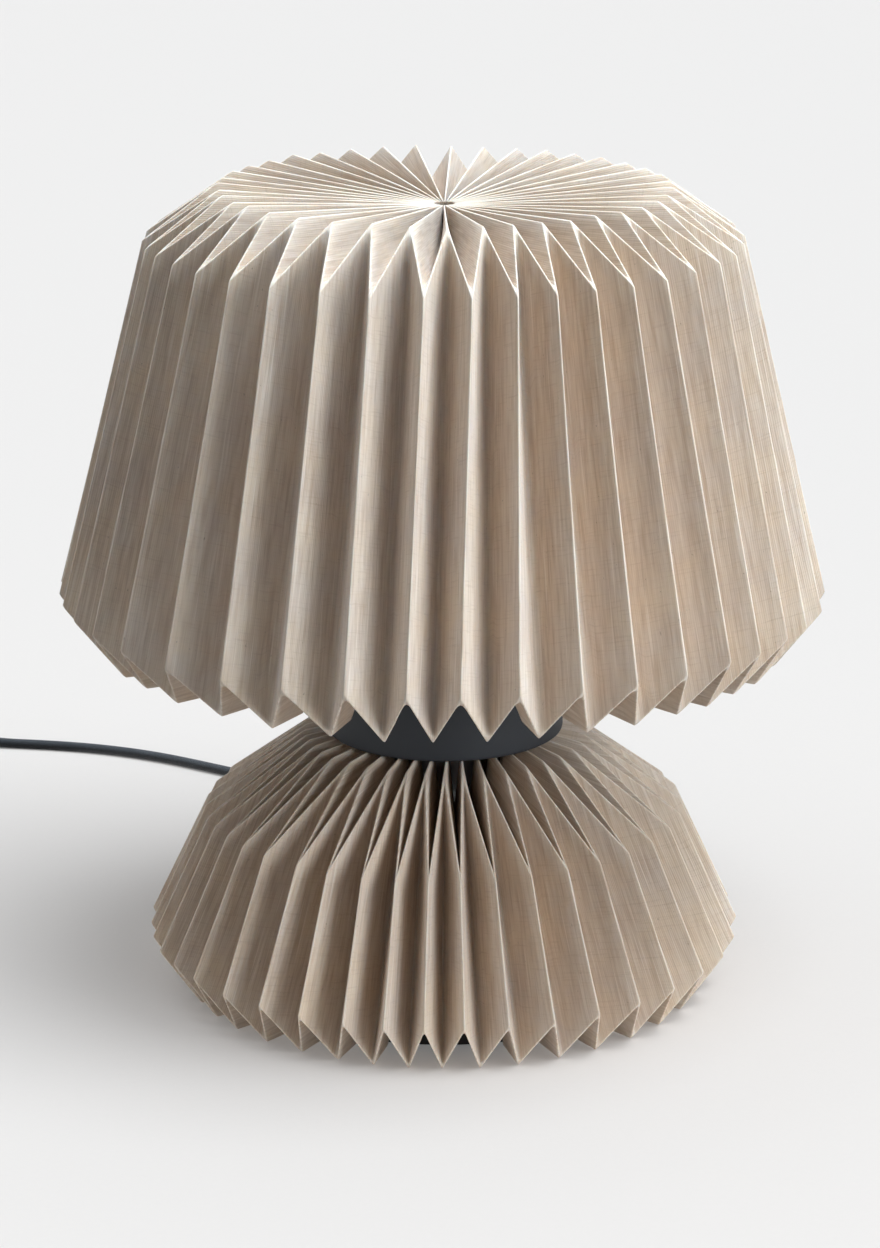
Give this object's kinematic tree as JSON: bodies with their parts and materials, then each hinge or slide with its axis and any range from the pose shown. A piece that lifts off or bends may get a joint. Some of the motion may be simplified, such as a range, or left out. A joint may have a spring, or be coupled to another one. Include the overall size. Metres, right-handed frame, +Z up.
{
  "type": "table lamp",
  "caption": "Table lamp with a wide pleated cloth drum shade with a folded flat top, a low pleated foot, a dark round collar and a textile lead with inline switch and plug.",
  "frame": {"origin": "on the floor, on the lamp's upright axis", "axes": "+Z up along the lamp's axis, front towards -Y, the lead leaves towards +Y"},
  "size_m": [0.6702, 0.5861, 0.4276],
  "materials": {
    "shade_cloth": "linen-look cloth laminated on card, pressed into pleats",
    "foot_cloth": "linen-look cloth laminated on card, pressed into pleats",
    "collar_steel": "matt anthracite powder coat",
    "weight_steel": "black powder coat on a cut steel disc",
    "zinc_steel": "bright zinc-plated steel",
    "carrier_steel": "white powder coat on welded wire",
    "pad_felt": "black pressed felt",
    "seat_steel": "pressed zinc-plated sheet",
    "bush_steel": "turned steel plug",
    "brass_thread": "turned brass",
    "holder_plastic": "black thermoplastic",
    "holder_ceramic": "white glazed insert",
    "contact_brass": "sprung brass",
    "bulb_metal": "nickel-plated cap",
    "bulb_black": "dark vitrite insulator",
    "bulb_plastic": "white moulded housing",
    "board_white": "white coated board",
    "globe_opal": "opal diffuser",
    "gather_thread": "thin twisted cord",
    "cord_textile": "charcoal textile braid over two cores",
    "grip_rubber": "soft moulded relief",
    "switch_plastic": "black moulded housing",
    "rocker_plastic": "smooth black rocker",
    "plug_plastic": "black moulded housing",
    "pin_brass": "nickel-plated pins"
  },
  "bodies": {
    "root": {"base_pad": "pad_felt", "base_plate": "weight_steel", "base_screws": "zinc_steel", "stem": "zinc_steel", "stem_bush": "bush_steel", "pleat_seat": "seat_steel", "base_pleats": "foot_cloth", "collar": "collar_steel", "nipple": "brass_thread", "lock_nut": "brass_thread", "holder_cap": "holder_plastic", "holder_insert": "holder_ceramic", "holder_body": "holder_plastic", "holder_shell": "contact_brass", "holder_contact": "contact_brass", "ring_lower": "holder_plastic", "ring_upper": "holder_plastic", "shade_carrier": "carrier_steel", "inner_lead": "cord_textile", "cord_grip": "grip_rubber", "cord_lead": "cord_textile", "switch_base": "switch_plastic", "switch_cover": "switch_plastic", "switch_screws": "zinc_steel", "cord_coil": "cord_textile", "plug_body": "plug_plastic", "plug_pins": "pin_brass"},
    "shade": {"shade_pleats": "shade_cloth", "gather_cord": "gather_thread"},
    "bulb_tip": {"bulb_contact": "bulb_metal"},
    "bulb": {"bulb_insulator": "bulb_black", "bulb_cap": "bulb_metal", "bulb_housing": "bulb_plastic", "led_board": "board_white", "bulb_globe": "globe_opal"},
    "rocker": {"switch_rocker": "rocker_plastic"}
  },
  "joints": [
    {"name": "shade_lift", "type": "slide", "parent": "root", "child": "shade", "axis": [0, 0, 1], "range_m": [0, 0.23]},
    {"name": "bulb_rise", "type": "slide", "parent": "root", "child": "bulb_tip", "axis": [0, 0, 1], "range_m": [0, 0.01815]},
    {"name": "bulb_turn", "type": "hinge", "parent": "bulb_tip", "child": "bulb", "pos_m": [0, 0, 0.21464], "axis": [0, 0, 1], "range_deg": [0, 1800]},
    {"name": "rocker_tilt", "type": "hinge", "parent": "root", "child": "rocker", "pos_m": [-0.34784, 0.37134, 0.0125], "axis": [0.1045, 0.9945, 0], "range_deg": [0, 16]}
  ],
  "couplings": [
    {"joint": "bulb_rise", "follows": "bulb_turn", "m_per_rad": 0.00057757}
  ]
}
